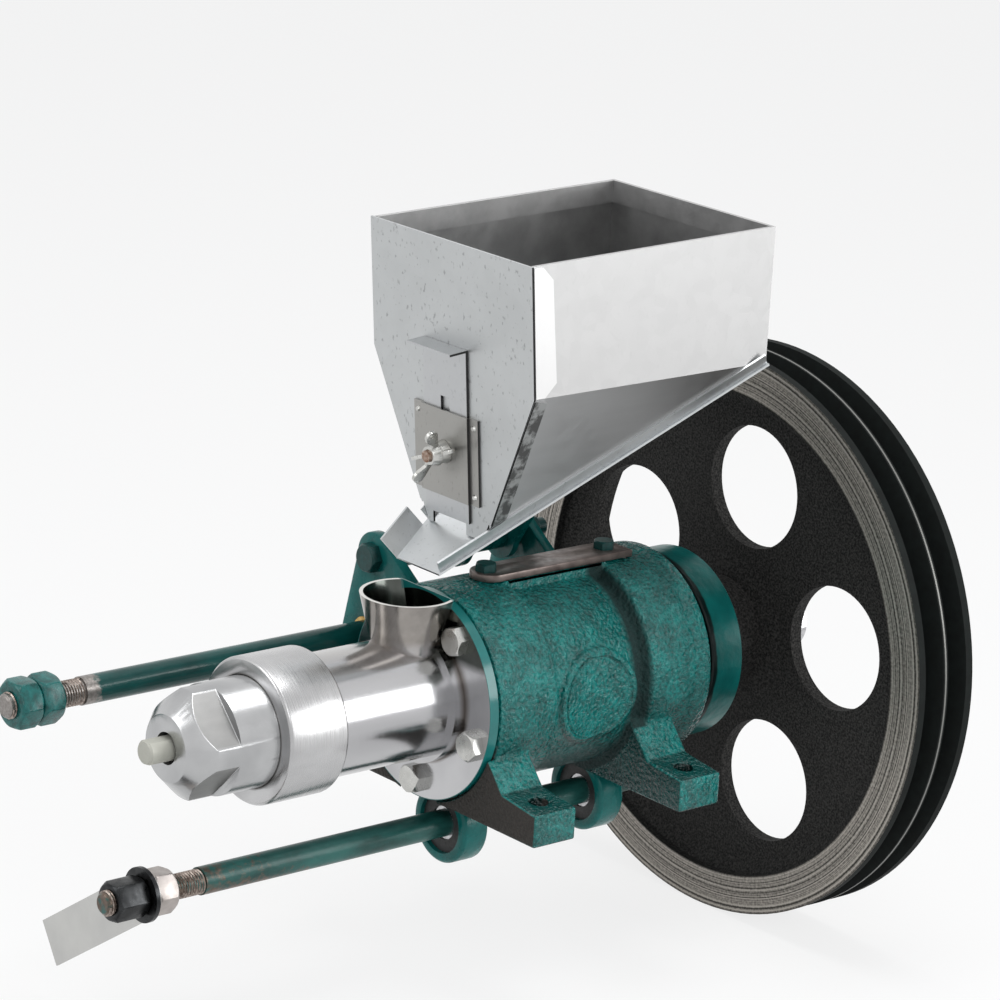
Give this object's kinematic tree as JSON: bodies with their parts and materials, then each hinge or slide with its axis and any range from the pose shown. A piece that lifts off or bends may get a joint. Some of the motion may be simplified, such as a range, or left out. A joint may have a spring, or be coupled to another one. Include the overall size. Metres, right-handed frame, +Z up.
{
  "type": "puffed food extruder",
  "caption": "Screw extruder for puffed grain snacks: green cast bearing housing, steel barrel and die nose, sheet hopper with gate, belt pulley and a knife shaft below.",
  "frame": {"origin": "centre of the four foot bolts, on the sole of the feet", "axes": "+Z up, main shaft along Y with the die towards -Y and the belt pulley towards +Y, +X towards the right, seen from the die end, which is the side turned to the camera in the picture"},
  "size_m": [0.4, 0.598, 0.509],
  "materials": {
    "green_casting": "rough green paint on cast iron",
    "green_paint": "smooth green paint",
    "green_rod": "dark green paint, worn",
    "green_nut": "green paint on a nut",
    "dark_green_bolt": "dark green paint on a bolt",
    "black_iron": "blackened cast iron with a turned rim",
    "bearing_steel": "ground steel",
    "bright_steel": "turned steel",
    "turned_steel": "turned and polished steel",
    "pin_steel": "ground steel",
    "zinc_steel": "zinc plated",
    "dark_steel": "blackened steel",
    "worn_steel": "worn steel with some rust",
    "knife_steel": "plain ground sheet steel",
    "bare_bar": "bare hot rolled bar, browned",
    "sheet_metal": "galvanised sheet",
    "sheet_metal_grey": "duller galvanised sheet",
    "bronze": "plain bearing bronze",
    "black_rubber": "rubber lip seals"
  },
  "bodies": {
    "frame": {"housing": "green_casting", "front_cover": "green_paint", "rear_bearing_nut": "green_paint", "main_bearing_outer_rings": "bearing_steel", "main_bearing_balls": "bearing_steel", "barrel": "turned_steel", "barrel_liner": "bright_steel", "flange_bolts": "zinc_steel", "union_collar": "turned_steel", "nose": "turned_steel", "die_plate": "pin_steel", "top_bar": "bare_bar", "top_bar_bolts": "dark_green_bolt", "cutter_ring_front": "green_paint", "cutter_ring_rear": "green_paint", "cutter_bearing_outer_rings": "bearing_steel", "cutter_bearing_balls": "bearing_steel", "cutter_bearing_shields": "black_rubber", "bracket_plate_front": "green_paint", "bracket_plate_rear": "green_paint", "tie_bolt": "dark_green_bolt", "tie_nut": "dark_green_bolt", "spacer_tube": "green_paint", "rod_bushes": "bronze", "hopper_front": "sheet_metal", "hopper_walls": "sheet_metal", "hopper_floor": "sheet_metal", "hopper_straps": "green_paint", "hopper_rivets": "zinc_steel", "gate_guide": "sheet_metal_grey", "gate_stud": "worn_steel"},
    "spindle": {"main_shaft": "bright_steel", "pulley": "black_iron", "pulley_key": "bright_steel", "pulley_washer": "bright_steel", "pulley_nut": "bright_steel", "main_bearing_inner_rings": "bearing_steel", "screw": "dark_steel"},
    "cutter": {"cutter_shaft": "green_rod", "knife": "knife_steel", "knife_washer": "dark_steel", "knife_lock_nut": "dark_steel", "knife_back_nut": "zinc_steel", "cutter_bearing_inner_rings": "bearing_steel"},
    "rod": {"upper_rod": "green_rod", "upper_rod_nuts": "green_nut"},
    "gate": {"gate_slide": "sheet_metal"},
    "wing_nuts": {"wing_nut_inner": "zinc_steel", "wing_nut_outer": "zinc_steel"}
  },
  "joints": [
    {"name": "spindle_spin", "type": "hinge", "parent": "frame", "child": "spindle", "pos_m": [0, 0, 0.071], "axis": [0, 1, 0], "continuous": true},
    {"name": "cutter_spin", "type": "hinge", "parent": "frame", "child": "cutter", "pos_m": [0.01, 0, -0.0193], "axis": [0, 1, 0], "continuous": true},
    {"name": "rod_turn", "type": "hinge", "parent": "frame", "child": "rod", "pos_m": [-0.09, 0, 0.083], "axis": [0, 1, 0], "continuous": true},
    {"name": "gate_lift", "type": "slide", "parent": "frame", "child": "gate", "axis": [0, -0.0906, 0.9959], "range_m": [-0.008, 0.022]},
    {"name": "wing_nuts_turn", "type": "hinge", "parent": "frame", "child": "wing_nuts", "pos_m": [-0.006, -0.07345, 0.23255], "axis": [0, 0.9959, 0.0906], "continuous": true}
  ]
}
